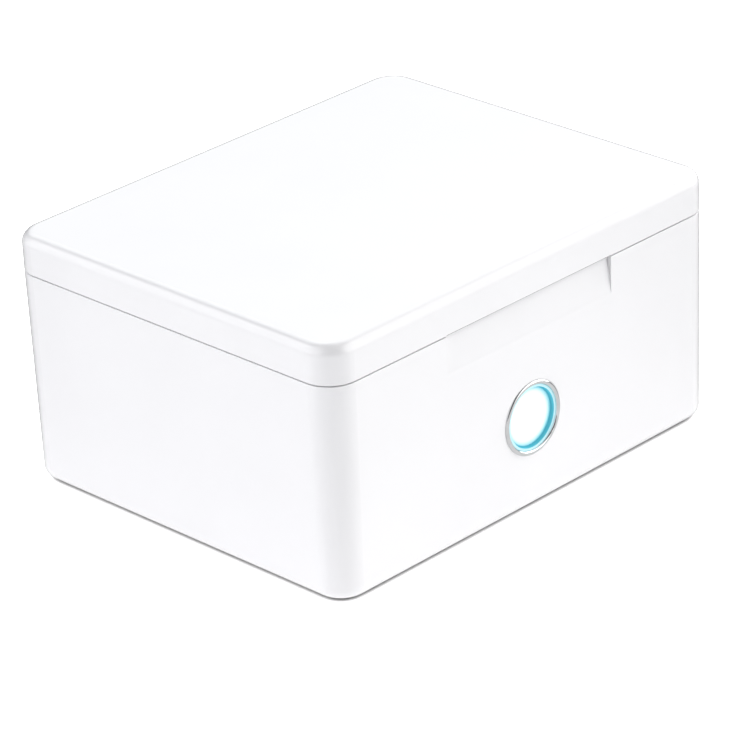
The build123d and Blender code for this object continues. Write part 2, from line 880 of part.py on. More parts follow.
with BuildPart() as lamp_reflector:
    with BuildSketch(Plane.YZ.offset(-holder_inner + moving_gap)):
        with Locations((lamp_y, lamp_z)):
            Circle(reflector_radius + reflector_sheet)
            Circle(reflector_radius, mode=Mode.SUBTRACT)
            Rectangle(
                2 * reflector_radius,
                4 * reflector_radius,
                align=(Align.MAX, Align.CENTER),
                mode=Mode.SUBTRACT,
            )
    extrude(amount=2 * (holder_inner - moving_gap))
lamp_reflector.part.label = "lamp_reflector"
export_step(lamp_reflector.part, "parts/lamp_reflector.step")

# Fan frame with its hub plate, struts and bearing tube, drawn from the frame's underside
fan_plane = Plane((0, fan_y, fan_bottom))
strut_length = 2 * fan_bore_radius + fan_rim

with BuildPart() as fan_frame:
    with BuildSketch(fan_plane):
        RectangleRounded(fan_size, fan_size, fan_corner)
        Circle(fan_bore_radius, mode=Mode.SUBTRACT)
    extrude(amount=fan_height)
    with BuildSketch(fan_plane):
        Circle(hub_plate_radius)
        Rectangle(strut_length, strut_width)
        Rectangle(strut_width, strut_length)
    extrude(amount=hub_plate_thickness)
    with BuildSketch(fan_plane.offset(hub_plate_thickness)):
        Circle(bearing_tube_radius)
        Circle(bearing_radius, mode=Mode.SUBTRACT)
    extrude(amount=bearing_tube_top - hub_plate_thickness)
    with BuildSketch(fan_plane):
        with GridLocations(fan_hole_spacing, fan_hole_spacing, 2, 2):
            Circle(fan_hole_radius)
    extrude(amount=fan_height, mode=Mode.SUBTRACT)
fan_frame.part.label = "fan_frame"
export_step(fan_frame.part, "parts/fan_frame.step")

with BuildPart() as fan_bearing:
    with BuildSketch(fan_plane.offset(hub_plate_thickness)):
        Circle(bearing_radius - bearing_grip)
        Circle(fan_shaft_radius + running_gap, mode=Mode.SUBTRACT)
    extrude(amount=bearing_tube_top - hub_plate_thickness)
fan_bearing.part.label = "fan_bearing"
export_step(fan_bearing.part, "parts/fan_bearing.step")

# Stator: a four pole core on the bearing tube, with a coil on each arm
stator_arm_span = 2 * (stator_shoe_inner + shoe_bite)

with BuildPart() as fan_stator:
    with BuildSketch(fan_plane.offset(stator_bottom)):
        Circle(stator_radius)
        Circle(stator_shoe_inner, mode=Mode.SUBTRACT)
        Rectangle(2 * stator_radius, pole_gap, rotation=45, mode=Mode.SUBTRACT)
        Rectangle(2 * stator_radius, pole_gap, rotation=-45, mode=Mode.SUBTRACT)
        Circle(stator_ring_radius)
        Rectangle(stator_arm_span, stator_arm)
        Rectangle(stator_arm, stator_arm_span)
        Circle(bearing_tube_radius + thread_gap, mode=Mode.SUBTRACT)
    extrude(amount=stator_height)
fan_stator.part.label = "fan_stator"
export_step(fan_stator.part, "parts/fan_stator.step")

with BuildPart() as stator_coils:
    with BuildSketch(fan_plane.offset(stator_bottom + (stator_height - coil_height) / 2)):
        Rectangle(2 * stator_radius, coil_width)
        Rectangle(coil_width, 2 * stator_radius)
        Circle(stator_shoe_inner - thread_gap, mode=Mode.INTERSECT)
        Circle(stator_ring_radius + thread_gap, mode=Mode.SUBTRACT)
    extrude(amount=coil_height)
    with BuildSketch(fan_plane.offset(stator_bottom - thread_gap)):
        Rectangle(4 * stator_radius, stator_arm + 2 * thread_gap)
        Rectangle(stator_arm + 2 * thread_gap, 4 * stator_radius)
    extrude(amount=stator_height + 2 * thread_gap, mode=Mode.SUBTRACT)
stator_coils.part.label = "stator_coils"
export_step(stator_coils.part, "parts/stator_coils.step")

# Impeller: a hub cup with twisted blades, its ring magnet and its shaft
hub_boss_bottom = bearing_tube_top + hub_boss_gap
blade_middle = (hub_bottom + hub_top) / 2

with BuildPart() as fan_blade:
    with BuildSketch(Plane((hub_radius - hub_wall / 2, 0, blade_middle), (0, 1, 0), (1, 0, 0))):
        Rectangle(blade_chord, blade_thickness, rotation=blade_root_pitch)
    with BuildSketch(Plane((fan_bore_radius, 0, blade_middle), (0, 1, 0), (1, 0, 0))):
        Rectangle(blade_chord, blade_thickness, rotation=blade_tip_pitch)
    loft()
    Cylinder(blade_tip_radius, 4 * fan_height, mode=Mode.INTERSECT)

with BuildPart(fan_plane) as fan_impeller:
    with BuildSketch(fan_plane.offset(hub_bottom)):
        Circle(hub_radius)
    extrude(amount=hub_top - hub_bottom)
    fillet(fan_impeller.edges().group_by(Axis.Z)[-1], hub_cap / 2)
    with BuildSketch(fan_plane.offset(hub_bottom)):
        Circle(hub_radius - hub_wall)
        Circle(hub_boss_radius, mode=Mode.SUBTRACT)
    extrude(amount=hub_top - hub_cap - hub_bottom, mode=Mode.SUBTRACT)
    with BuildSketch(fan_plane.offset(hub_bottom)):
        Circle(hub_boss_radius)
    extrude(amount=hub_boss_bottom - hub_bottom, mode=Mode.SUBTRACT)
    with BuildSketch(fan_plane):
        Circle(fan_shaft_radius + running_gap)
    extrude(amount=fan_height, mode=Mode.SUBTRACT)
    with PolarLocations(0, blade_count):
        add(fan_blade.part)
fan_impeller.part.label = "fan_impeller"
export_step(fan_impeller.part, "parts/fan_impeller.step")

with BuildPart() as rotor_magnet:
    with BuildSketch(fan_plane.offset(magnet_ring_bottom)):
        Circle(hub_radius - hub_wall - thread_gap)
        Circle(hub_radius - hub_wall - magnet_ring_thickness, mode=Mode.SUBTRACT)
    extrude(amount=magnet_ring_top - magnet_ring_bottom)
rotor_magnet.part.label = "rotor_magnet"
export_step(rotor_magnet.part, "parts/rotor_magnet.step")

with BuildPart() as fan_shaft:
    with BuildSketch(fan_plane.offset(hub_plate_thickness + thread_gap)):
        Circle(fan_shaft_radius)
    extrude(amount=hub_top - hub_plate_thickness - 2 * thread_gap)
fan_shaft.part.label = "fan_shaft"
export_step(fan_shaft.part, "parts/fan_shaft.step")

# Air duct from the fan up to the chamber, with ledges for the heater
duct_flange_size = fan_size + 2 * duct_flange_overhang
with BuildPart() as air_duct:
    with BuildSketch(Plane((0, fan_y, fan_top))):
        Rectangle(duct_flange_size, duct_flange_size)
        Circle(fan_bore_radius, mode=Mode.SUBTRACT)
        with GridLocations(fan_hole_spacing, fan_hole_spacing, 2, 2):
            Circle(fan_hole_radius, mode=Mode.SUBTRACT)
    extrude(amount=duct_flange)
    with BuildSketch(Plane((0, fan_y, fan_top + duct_flange))):
        Rectangle(duct_outer, duct_outer)
        Rectangle(duct_inner, duct_inner, mode=Mode.SUBTRACT)
    extrude(amount=duct_height - duct_flange)
    with BuildSketch(Plane((0, fan_y, fan_top + duct_flange))):
        Rectangle(duct_inner, heater_ledge_length)
        Rectangle(duct_inner - 2 * duct_wall, heater_ledge_length, mode=Mode.SUBTRACT)
    extrude(amount=heater_ledge_height)
    # Holes for the heater's leads, beside the ends of its bars
    with BuildSketch(Plane.YZ.offset(duct_inner / 2 - duct_wall)):
        with Locations(*[(y, heater_lead_z) for x, y in bar_places]):
            Circle(wire_radius + lead_hole_gap)
    extrude(amount=3 * duct_wall, mode=Mode.SUBTRACT)
air_duct.part.label = "air_duct"
export_step(air_duct.part, "parts/air_duct.step")

with BuildPart() as fan_screws:
    add(
        pan_head_screws(
            fan_holes,
            fan_top + duct_flange,
            False,
            fan_screw_head,
            fan_screw_head_height,
            fan_screw_radius,
            fan_height + duct_flange + fan_pilot_depth - moving_gap,
        )
    )
fan_screws.part.label = "fan_screws"
export_step(fan_screws.part, "parts/fan_screws.step")

# Heater: a finned block with two ceramic bars in its channels, and the thermal fuse on top
fin_columns = int((heater_width - 2 * heater_rim) // fin_pitch)
fin_slot_length = heater_row_pitch - heater_bar - fin_web

with BuildPart() as heater_core:
    with BuildSketch(Plane((0, fan_y, heater_bottom))):
        Rectangle(heater_width, heater_depth)
        with GridLocations(fin_pitch, heater_row_pitch, fin_columns, fin_rows):
            Rectangle(fin_slot, fin_slot_length, mode=Mode.SUBTRACT)
        with GridLocations(0, heater_row_pitch, 1, 2):
            Rectangle(
                bar_length + 2 * thread_gap, heater_bar + 2 * thread_gap, mode=Mode.SUBTRACT
            )
    extrude(amount=heater_height)
    # Holes for the leads, through the rim to the ends of the bars
    with BuildSketch(Plane.YZ.offset(bar_length / 2)):
        with Locations(*[(y, heater_lead_z) for x, y in bar_places]):
            Circle(wire_radius + lead_hole_gap)
    extrude(amount=heater_width, mode=Mode.SUBTRACT)
heater_core.part.label = "heater_core"
export_step(heater_core.part, "parts/heater_core.step")

with BuildPart() as heater_bars:
    add(blocks(bar_places, bar_length, heater_bar, heater_bottom, heater_height, bar_corner))
heater_bars.part.label = "heater_bars"
export_step(heater_bars.part, "parts/heater_bars.step")

with BuildPart() as thermal_fuse:
    with BuildSketch(Plane.YZ.offset(-fuse_length / 2)):
        with Locations((fan_y, heater_top + fuse_radius)):
            Circle(fuse_radius)
    extrude(amount=fuse_length)
    fillet(thermal_fuse.edges().group_by(Axis.X)[-1], fuse_radius / 2)
thermal_fuse.part.label = "thermal_fuse"
export_step(thermal_fuse.part, "parts/thermal_fuse.step")

# Main board with what stands on it
board_hole_radius = small_screw_radius + shank_gap
main_board_y = (main_board_rear + main_board_front) / 2

with BuildPart() as main_board:
    with BuildSketch(Plane((main_board_x, main_board_y, board_bottom))):
        RectangleRounded(main_board_width, main_board_length, board_corner)
    extrude(amount=board_thickness)
    with Locations(*[(x, y, board_top) for x, y in main_board_holes]):
        Hole(board_hole_radius, board_thickness)
main_board.part.label = "main_board"
export_step(main_board.part, "parts/main_board.step")

with BuildPart() as inverter_board:
    with BuildSketch(Plane((inverter_board_x, inverter_board_y, board_bottom))):
        RectangleRounded(inverter_board_width, inverter_board_length, board_corner)
    extrude(amount=board_thickness)
    with Locations(*[(x, y, board_top) for x, y in inverter_board_holes]):
        Hole(board_hole_radius, board_thickness)
inverter_board.part.label = "inverter_board"
export_step(inverter_board.part, "parts/inverter_board.step")

with BuildPart() as board_screws:
    add(
        pan_head_screws(
            board_holes,
            board_top,
            False,
            small_screw_head,
            small_screw_head_height,
            small_screw_radius,
            board_thickness + board_pilot_depth - moving_gap,
        )
    )
board_screws.part.label = "board_screws"
export_step(board_screws.part, "parts/board_screws.step")

with BuildPart() as controller_chip:
    chip_places = [on_main_board(chip_place)]
    add(blocks(chip_places, chip_size, chip_size, board_top, chip_height, chip_corner))
controller_chip.part.label = "controller_chip"
export_step(controller_chip.part, "parts/controller_chip.step")

with BuildPart() as capacitors:
    with BuildSketch(Plane.XY.offset(board_top)):
        with Locations(*[on_main_board(place) for place in capacitor_places]):
            Circle(capacitor_radius)
    extrude(amount=capacitor_height)
    fillet(capacitors.edges().group_by(Axis.Z)[-1], capacitor_round)
capacitors.part.label = "capacitors"
export_step(capacitors.part, "parts/capacitors.step")

with BuildPart() as buzzer:
    with BuildSketch(Plane.XY.offset(board_top)):
        with Locations(on_main_board(buzzer_place)):
            Circle(buzzer_radius)
    extrude(amount=buzzer_height)
    with BuildSketch(Plane.XY.offset(board_top + buzzer_height)):
        with Locations(on_main_board(buzzer_place)):
            Circle(buzzer_hole_radius)
    extrude(amount=-buzzer_hole_depth, mode=Mode.SUBTRACT)
buzzer.part.label = "buzzer"
export_step(buzzer.part, "parts/buzzer.step")

with BuildPart() as board_connectors:
    add(
        blocks(
            connector_places,
            connector_width,
            connector_length,
            board_top,
            connector_height,
            connector_corner,
        )
    )
board_connectors.part.label = "board_connectors"
export_step(board_connectors.part, "parts/board_connectors.step")

with BuildPart() as inverter_transformer:
    add(
        blocks(
            [(inverter_board_x, inverter_board_y)],
            transformer_width,
            transformer_length,
            board_top,
            transformer_height,
            transformer_corner,
        )
    )
inverter_transformer.part.label = "inverter_transformer"
export_step(inverter_transformer.part, "parts/inverter_transformer.step")

with BuildPart() as inverter_connectors:
    add(
        blocks(
            inverter_connector_places,
            inverter_connector_width,
            inverter_connector_length,
            board_top,
            connector_height,
            connector_corner,
        )
    )
inverter_connectors.part.label = "inverter_connectors"
export_step(inverter_connectors.part, "parts/inverter_connectors.step")

# Power jack at the rear edge of the main board, its nose in the case's hole
jack_mouth_y = case_depth / 2 - lean(jack_z) - jack_recess
jack_nose_length = wall + jack_wall_gap - jack_recess
jack_body_rear = jack_mouth_y - jack_nose_length
jack_floor_y = jack_mouth_y - jack_bore_depth

with BuildPart() as power_jack:
    with BuildSketch(Plane.XZ.offset(-jack_body_rear)):
        with Locations((main_board_x, board_top)):
            Rectangle(jack_width, jack_height, align=(Align.CENTER, Align.MIN))
    extrude(amount=jack_length)
    with BuildSketch(Plane.XZ.offset(-jack_mouth_y)):
        with Locations((main_board_x, jack_z)):
            Circle(jack_nose_radius)
    extrude(amount=jack_nose_length)
    with BuildSketch(Plane.XZ.offset(-jack_mouth_y)):
        with Locations((main_board_x, jack_z)):
            Circle(jack_bore_radius)
    extrude(amount=jack_bore_depth, mode=Mode.SUBTRACT)
power_jack.part.label = "power_jack"
export_step(power_jack.part, "parts/power_jack.step")

with BuildPart() as jack_pin:
    with BuildSketch(Plane.XZ.offset(-jack_floor_y)):
        with Locations((main_board_x, jack_z)):
            Circle(jack_contact_radius)
    extrude(amount=-jack_contact_length)
    fillet(jack_pin.edges().group_by(Axis.Y)[-1], jack_contact_round)
jack_pin.part.label = "jack_pin"
export_step(jack_pin.part, "parts/jack_pin.step")

# Hall sensor and magnets under the deck
with BuildPart() as hall_sensor:
    hall_bottom = deck_bottom - hall_height
    add(blocks([(0, magnet_y)], hall_width, hall_thickness, hall_bottom, hall_height, hall_corner))
hall_sensor.part.label = "hall_sensor"
export_step(hall_sensor.part, "parts/hall_sensor.step")

with BuildPart() as base_magnets:
    with BuildSketch(Plane.XY.offset(deck_bottom)):
        with Locations(*magnet_places):
            Circle(magnet_radius)
    extrude(amount=-magnet_height)
base_magnets.part.label = "base_magnets"
export_step(base_magnets.part, "parts/base_magnets.step")

# Power button: bezel, its nut, the light ring, the cap and the switch board behind
with BuildPart() as button_bezel:
    with BuildSketch(button_plane(-bezel_proud)):
        Circle(bezel_radius)
        Circle(bezel_bore, mode=Mode.SUBTRACT)
    extrude(amount=bezel_proud)
    fillet(button_bezel.edges().group_by(Axis.Y)[0].sort_by(SortBy.LENGTH)[-1], bezel_outer_round)
    fillet(button_bezel.edges().group_by(Axis.Y)[0].sort_by(SortBy.LENGTH)[0], bezel_inner_round)
    with BuildSketch(button_plane(0)):
        Circle(barrel_radius)
        Circle(bezel_bore, mode=Mode.SUBTRACT)
    extrude(amount=barrel_length)
button_bezel.part.label = "button_bezel"
export_step(button_bezel.part, "parts/button_bezel.step")

with BuildPart() as bezel_nut:
    with BuildSketch(button_plane(nut_seat_y - bezel_seat_y)):
        RegularPolygon(nut_radius, 6)
        Circle(barrel_radius + thread_gap, mode=Mode.SUBTRACT)
    extrude(amount=nut_thickness)
bezel_nut.part.label = "bezel_nut"
export_step(bezel_nut.part, "parts/bezel_nut.step")

light_ring_front = light_ring_sink - bezel_proud
with BuildPart() as light_ring:
    with BuildSketch(button_plane(light_ring_front)):
        Circle(light_ring_outer)
        Circle(light_ring_inner, mode=Mode.SUBTRACT)
    extrude(amount=light_ring_length)
light_ring.part.label = "light_ring"
export_step(light_ring.part, "parts/light_ring.step")

cap_front = cap_sink - bezel_proud
cap_rear = cap_front + cap_length
switch_front = barrel_length - switch_height
plunger_front = switch_front - plunger_rise
with BuildPart() as power_button:
    with BuildSketch(button_plane(cap_front)):
        Circle(cap_radius)
    extrude(amount=cap_length)
    fillet(power_button.edges().group_by(Axis.Y)[0], cap_round)
    with BuildSketch(button_plane(cap_rear - cap_flange)):
        Circle(bezel_bore - moving_gap)
    extrude(amount=cap_flange)
    with BuildSketch(button_plane(cap_front + cap_wall)):
        Circle(cap_radius - cap_wall)
        Circle(stem_radius, mode=Mode.SUBTRACT)
    extrude(amount=cap_length, mode=Mode.SUBTRACT)
    with BuildSketch(button_plane(plunger_front)):
        Circle(stem_radius)
    extrude(amount=cap_length, mode=Mode.SUBTRACT)
power_button.part.label = "power_button"
export_step(power_button.part, "parts/power_button.step")

with BuildPart() as switch_plunger:
    with BuildSketch(button_plane(plunger_front)):
        Circle(plunger_radius)
    extrude(amount=plunger_length)
switch_plunger.part.label = "switch_plunger"
export_step(switch_plunger.part, "parts/switch_plunger.step")

plunger_hole_depth = plunger_length - plunger_rise + button_travel + moving_gap
with BuildPart() as tact_switch:
    with BuildSketch(button_plane(switch_front)):
        RectangleRounded(switch_size, switch_size, switch_corner)
    extrude(amount=switch_height)
    with BuildSketch(button_plane(switch_front)):
        Circle(plunger_radius + 2 * thread_gap)
    extrude(amount=plunger_hole_depth, mode=Mode.SUBTRACT)
tact_switch.part.label = "tact_switch"
export_step(tact_switch.part, "parts/tact_switch.step")

with BuildPart() as button_board:
    with BuildSketch(button_plane(barrel_length)):
        Circle(barrel_radius - thread_gap)
    extrude(amount=button_board_thickness)
button_board.part.label = "button_board"
export_step(button_board.part, "parts/button_board.step")

with BuildPart() as ring_leds:
    with BuildSketch(button_plane(barrel_length)):
        with PolarLocations(bezel_bore - led_inset, led_count):
            Rectangle(led_width, led_length)
    extrude(amount=-led_height)
ring_leds.part.label = "ring_leds"
export_step(ring_leds.part, "parts/ring_leds.step")

with BuildPart() as button_connector:
    with BuildSketch(button_plane(barrel_length + button_board_thickness)):
        RectangleRounded(button_connector_width, button_connector_height, connector_corner)
    extrude(amount=button_connector_depth)
button_connector.part.label = "button_connector"
export_step(button_connector.part, "parts/button_connector.step")

# Lid shell
lid_bevel = hinge_bevel(1)
base_knuckle_relief = [
    hinge_barrels(knuckle_radius + moving_gap, start, base_knuckle + 2 * moving_gap)
    for start in (
        -base_barrel_start - base_knuckle - moving_gap,
        base_barrel_start - moving_gap,
    )
]
lid_barrels = hinge_barrels(knuckle_radius, -lid_knuckle / 2, lid_knuckle)
lid_pin_bore = hinge_barrels(pin_radius + pin_clearance, -lid_knuckle, 2 * lid_knuckle)

with BuildPart() as lid_shell:
    with BuildSketch(Plane.XY.offset(lid_bottom)):
        case_outline(0)
    extrude(amount=lid_top - lid_bottom)
    fillet(lid_shell.edges().group_by(Axis.Z)[-1], lid_edge_radius)
    fillet(lid_shell.edges().group_by(Axis.Z)[0], parting_edge_round)
    with BuildSketch(Plane.XY.offset(lid_bottom)):
        seat_outline(0)
    extrude(amount=lid_ceiling - lid_bottom, mode=Mode.SUBTRACT)
    with BuildSketch(Plane.XY.offset(liner_top)):
        with Locations(*lid_boss_places):
            Circle(lid_boss_radius)
    extrude(amount=lid_ceiling - liner_top)
    with BuildSketch(Plane.XY.offset(liner_top)):
        with Locations(*lid_boss_places):
            Circle(small_screw_radius + thread_gap)
    extrude(amount=lid_screw_depth + moving_gap, mode=Mode.SUBTRACT)
    add(lid_bevel, mode=Mode.SUBTRACT)
    add(base_knuckle_relief, mode=Mode.SUBTRACT)
    add(lid_barrels)
    add(lid_pin_bore, mode=Mode.SUBTRACT)
lid_shell.part.label = "lid_shell"
export_step(lid_shell.part, "parts/lid_shell.step")

# Lid liner: a plate on the lid's bosses with a raised pan over the chamber
with BuildPart() as lid_liner:
    with BuildSketch(Plane.XY.offset(liner_bottom)):
        seat_outline(fit_gap)
    extrude(amount=liner_thickness)
    with BuildSketch(Plane.XY.offset(liner_bottom)):
        chamber_outline(liner_thickness)
    extrude(amount=pan_top - liner_bottom)
    with BuildSketch(Plane.XY.offset(liner_bottom)):
        chamber_outline(0)
    extrude(amount=pan_bottom - liner_bottom, mode=Mode.SUBTRACT)
    with BuildSketch(Plane.XY.offset(liner_bottom)):
        with Locations(*lid_boss_places):
            Circle(small_screw_radius + shank_gap)
    extrude(amount=liner_thickness, mode=Mode.SUBTRACT)
lid_liner.part.label = "lid_liner"
export_step(lid_liner.part, "parts/lid_liner.step")

with BuildPart() as lid_reflector:
    with BuildSketch(Plane.XY.offset(pan_bottom)):
        chamber_outline(-lid_reflector_inset)
    extrude(amount=-reflector_sheet)
lid_reflector.part.label = "lid_reflector"
export_step(lid_reflector.part, "parts/lid_reflector.step")

with BuildPart() as lid_seal:
    with BuildSketch(Plane.XY.offset(liner_bottom)):
        chamber_outline(fit_gap + seal_width)
        chamber_outline(fit_gap, mode=Mode.SUBTRACT)
    extrude(amount=-seal_thickness)
lid_seal.part.label = "lid_seal"
export_step(lid_seal.part, "parts/lid_seal.step")

with BuildPart() as lid_magnets:
    with BuildSketch(Plane.XY.offset(liner_top)):
        with Locations(*magnet_places):
            Circle(magnet_radius)
    extrude(amount=magnet_height)
lid_magnets.part.label = "lid_magnets"
export_step(lid_magnets.part, "parts/lid_magnets.step")

with BuildPart() as sensor_magnet:
    with BuildSketch(Plane.XY.offset(liner_top)):
        with Locations((0, magnet_y)):
            Circle(sensor_magnet_radius)
    extrude(amount=magnet_height)
sensor_magnet.part.label = "sensor_magnet"
export_step(sensor_magnet.part, "parts/sensor_magnet.step")

with BuildPart() as lid_screws:
    add(
        pan_head_screws(
            lid_boss_places,
            liner_bottom,
            True,
            small_screw_head,
            small_screw_head_height,
            small_screw_radius,
            liner_thickness + lid_screw_depth,
        )
    )
lid_screws.part.label = "lid_screws"
export_step(lid_screws.part, "parts/lid_screws.step")

# Leads. Each leaves what it serves straight, and comes down straight on its socket
lead_start = bezel_seat_y + barrel_length + button_board_thickness + button_connector_depth
fan_side = fan_size / 2
bar_end = bar_length / 2
lead_bend_z = connector_top + 6.5
inverter_plug, lamp_plug = inverter_connector_places
lamp_wire_x = lamp_channel_length / 2 + chamber_wall + 5
lamp_wire_y = lamp_channel_rear + chamber_wall + 3.2

button_lead_points = [
    (0, lead_start, button_z),
    (0, lead_start + 6, button_z),
    (7, lead_start + 12, button_z + 0.5),
    (18, button_socket[1] - 5.5, lead_bend_z + 0.9),
    (*button_socket, lead_bend_z + 0.4),
    (*button_socket, connector_top),
]
sensor_lead_points = [
    (0, magnet_y, deck_bottom - hall_height),
    (0, magnet_y, deck_bottom - hall_height - 6),
    (6, magnet_y + 4, deck_bottom - hall_height - 12.5),
    (9.5, magnet_y + 5.8, 25.5),
    (16, magnet_y + 12.5, lead_bend_z + 0.5),
    (32, magnet_y + 11, lead_bend_z + 1.5),
    (43, sensor_socket[1] - 16, lead_bend_z + 1),
    (sensor_socket[0], sensor_socket[1] - 7, lead_bend_z + 1),
    (*sensor_socket, lead_bend_z),
    (*sensor_socket, connector_top),
]
fan_lead_points = [
    (fan_side, fan_socket[1] - 5.5, fan_bottom + 6),
    (fan_side + 4.2, fan_socket[1] - 5.5, fan_bottom + 6.2),
    (fan_side + 5.2, fan_socket[1] - 5, connector_top + 2.5),
    (fan_socket[0] - 1, fan_socket[1] - 4.5, lead_bend_z + 1),
    (*fan_socket, lead_bend_z),
    (*fan_socket, connector_top),
]
inverter_lead_points = [
    (*inverter_socket, connector_top),
    (*inverter_socket, lead_bend_z - 0.5),
    (26, inverter_socket[1] + 0.4, lead_bend_z - 1.5),
    (8, inverter_socket[1] + 1.8, connector_top + 1),
    (-10, inverter_socket[1] + 2.3, connector_top + 1.4),
    (-27, inverter_plug[1] - 6.5, connector_top + 4.4),
    (*inverter_plug, lead_bend_z),
    (*inverter_plug, connector_top),
]
heater_lead_points = [
    [
        (bar_end, bar_y, heater_lead_z),
        (duct_outer / 2 + 3, bar_y, heater_lead_z),
        (heater_socket[0], heater_socket[1] + shift, lead_bend_z),
        (heater_socket[0], heater_socket[1] + shift, connector_top),
    ]
    for (_, bar_y), shift in zip(bar_places, (-2, 2))
]
lamp_lead_points = [
    [
        (-lamp_end, lamp_y, lamp_z),
        (-lamp_wire_x, lamp_y, lamp_z),
        (-lamp_wire_x - 0.5, lamp_y + 0.6, lamp_z - 9),
        (-lamp_wire_x + 0.5, lamp_y - 0.5, lead_bend_z),
        (lamp_plug[0] - 2.2, lamp_plug[1] + 8, lead_bend_z - 1),
        (lamp_plug[0] - 2, lamp_plug[1], lead_bend_z - 1.5),
        (lamp_plug[0] - 2, lamp_plug[1], connector_top),
    ],
    [
        (lamp_end, lamp_y, lamp_z),
        (lamp_wire_x, lamp_y, lamp_z),
        (lamp_wire_x + 1.5, lamp_wire_y - 2, lamp_z - 0.2),
        (lamp_wire_x - 6, lamp_wire_y, lamp_z - 0.6),
        (20, lamp_wire_y - 0.6, lamp_z - 1.2),
        (0, lamp_wire_y, lamp_z - 1.6),
        (-20, lamp_wire_y - 0.5, lamp_z - 1.2),
        (-35, lamp_wire_y, lamp_z - 3),
        (-41, lamp_wire_y - 3.5, lamp_z - 12),
        (-39.5, lamp_y + 0.5, lead_bend_z + 1),
        (lamp_plug[0] + 2.2, lamp_plug[1] + 8, lead_bend_z),
        (lamp_plug[0] + 2, lamp_plug[1], lead_bend_z - 0.5),
        (lamp_plug[0] + 2, lamp_plug[1], connector_top),
    ],
]

with BuildPart() as button_lead:
    add(lead(button_lead_points, lead_radius))
button_lead.part.label = "button_lead"
export_step(button_lead.part, "parts/button_lead.step")

with BuildPart() as sensor_lead:
    add(lead(sensor_lead_points, lead_radius))
sensor_lead.part.label = "sensor_lead"
export_step(sensor_lead.part, "parts/sensor_lead.step")

with BuildPart() as fan_lead:
    add(lead(fan_lead_points, lead_radius))
fan_lead.part.label = "fan_lead"
export_step(fan_lead.part, "parts/fan_lead.step")

with BuildPart() as inverter_lead:
    add(lead(inverter_lead_points, lead_radius))
inverter_lead.part.label = "inverter_lead"
export_step(inverter_lead.part, "parts/inverter_lead.step")

with BuildPart() as heater_leads:
    for points in heater_lead_points:
        add(lead(points, wire_radius))
heater_leads.part.label = "heater_leads"
export_step(heater_leads.part, "parts/heater_leads.step")

with BuildPart() as lamp_leads:
    for points in lamp_lead_points:
        add(lead(points, wire_radius))
lamp_leads.part.label = "lamp_leads"
export_step(lamp_leads.part, "parts/lamp_leads.step")
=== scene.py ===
import math

import bpy
from mathutils import Matrix, Vector


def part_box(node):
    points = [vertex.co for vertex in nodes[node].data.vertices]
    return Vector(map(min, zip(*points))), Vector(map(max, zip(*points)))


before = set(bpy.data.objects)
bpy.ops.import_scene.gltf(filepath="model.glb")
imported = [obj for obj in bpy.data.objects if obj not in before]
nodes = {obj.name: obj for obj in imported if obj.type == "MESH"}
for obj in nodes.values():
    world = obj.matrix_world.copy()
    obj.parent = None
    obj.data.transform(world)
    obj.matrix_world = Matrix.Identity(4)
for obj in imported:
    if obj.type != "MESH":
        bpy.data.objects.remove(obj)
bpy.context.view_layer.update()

# Hearing aid dryer in a bright white studio. Metres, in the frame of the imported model: the case stands
# on z = 0, its front faces -Y, and the button's axis lies in the plane x = 0. Azimuths are in degrees,
# 0 at the front and 90 at +X.

# Camera, aimed along its own axis at a point inside the case
camera_aim = Vector((-0.00987, -0.00803, 0.02677))
camera_azimuth = -44.51
camera_elevation = 25.74
camera_roll = -2.90
camera_distance = 0.9396
camera_lens = 203.07
camera_sensor = 36.0

# Studio light: a dim sky with soft boxes in it. Each box is its azimuth and elevation, the half angles
# at which it starts to fade and is gone, its strength and its tint
sky_strength = 0.08
sky_tint = (0.93, 0.96, 1.0)
soft_boxes = [
    (45.0, 20.0, 25.0, 50.0, 1.97, (1.0, 0.992, 0.98)),
    (90.0, 15.0, 20.0, 40.0, 2.07, (1.0, 0.995, 0.985)),
    (135.0, 37.0, 15.0, 35.0, 1.04, (0.96, 0.98, 1.0)),
    (158.0, 44.0, 8.0, 20.0, 0.62, (0.96, 0.98, 1.0)),
    (120.0, 38.0, 15.0, 22.0, 0.20, (1.0, 1.0, 1.0)),
    (-137.0, 28.0, 25.0, 50.0, 0.62, (0.985, 0.985, 1.0)),
    (-146.0, 38.0, 8.0, 18.0, 0.60, (0.985, 0.985, 1.0)),
    (-114.0, 25.0, 25.0, 50.0, 1.26, (0.985, 0.98, 0.99)),
]

# Floor: a pale table whose colour drifts slightly, with a painted shadow as the dark line in the gap under
# the case's foot
floor_size = 8.0
floor_colour = (0.93, 0.93, 0.94)
floor_drift = 0.995
floor_blotch = 0.5
floor_roughness = 0.9
floor_specular = 0.1
foot_shadow_reach = 0.003
foot_shadow_stops = [(0.12, 0.05), (0.42, 1.0)]

# Glow of the floor: a pool of light round the case, and an even glow where the camera sees it
glow_tint = (1.0, 0.985, 0.985)
glow_far = 0.115
glow_near = 0.355
glow_near_radius = 0.07
glow_far_radius = 0.16
glow_seen = 0.70

# Backdrop: white straight behind the case, and a pale grey in every other direction, so that the white
# case stands out there too. The wedges are cosines of the angle from straight behind. The glow ends a
# little way into the grey
behind_azimuth = 135.0
floor_grey = 0.80
backdrop_grey = 0.78
grey_start = 0.14
grey_full = 0.26
white_wedge = 0.66
grey_wedge = 0.30
unlit_reach = 0.02
unlit_turn = 0.06

# Brightness of the floor in gloss, which turns from one to the other under the case
mirrored_in_front = 0.75
mirrored_behind = 0.30
mirror_turn = 0.03

# Line of shade along the lid's front edge over the finger recess
recess_width = 0.054
lid_front_depth = 0.003
line_height = 0.00022
line_tone = 0.20
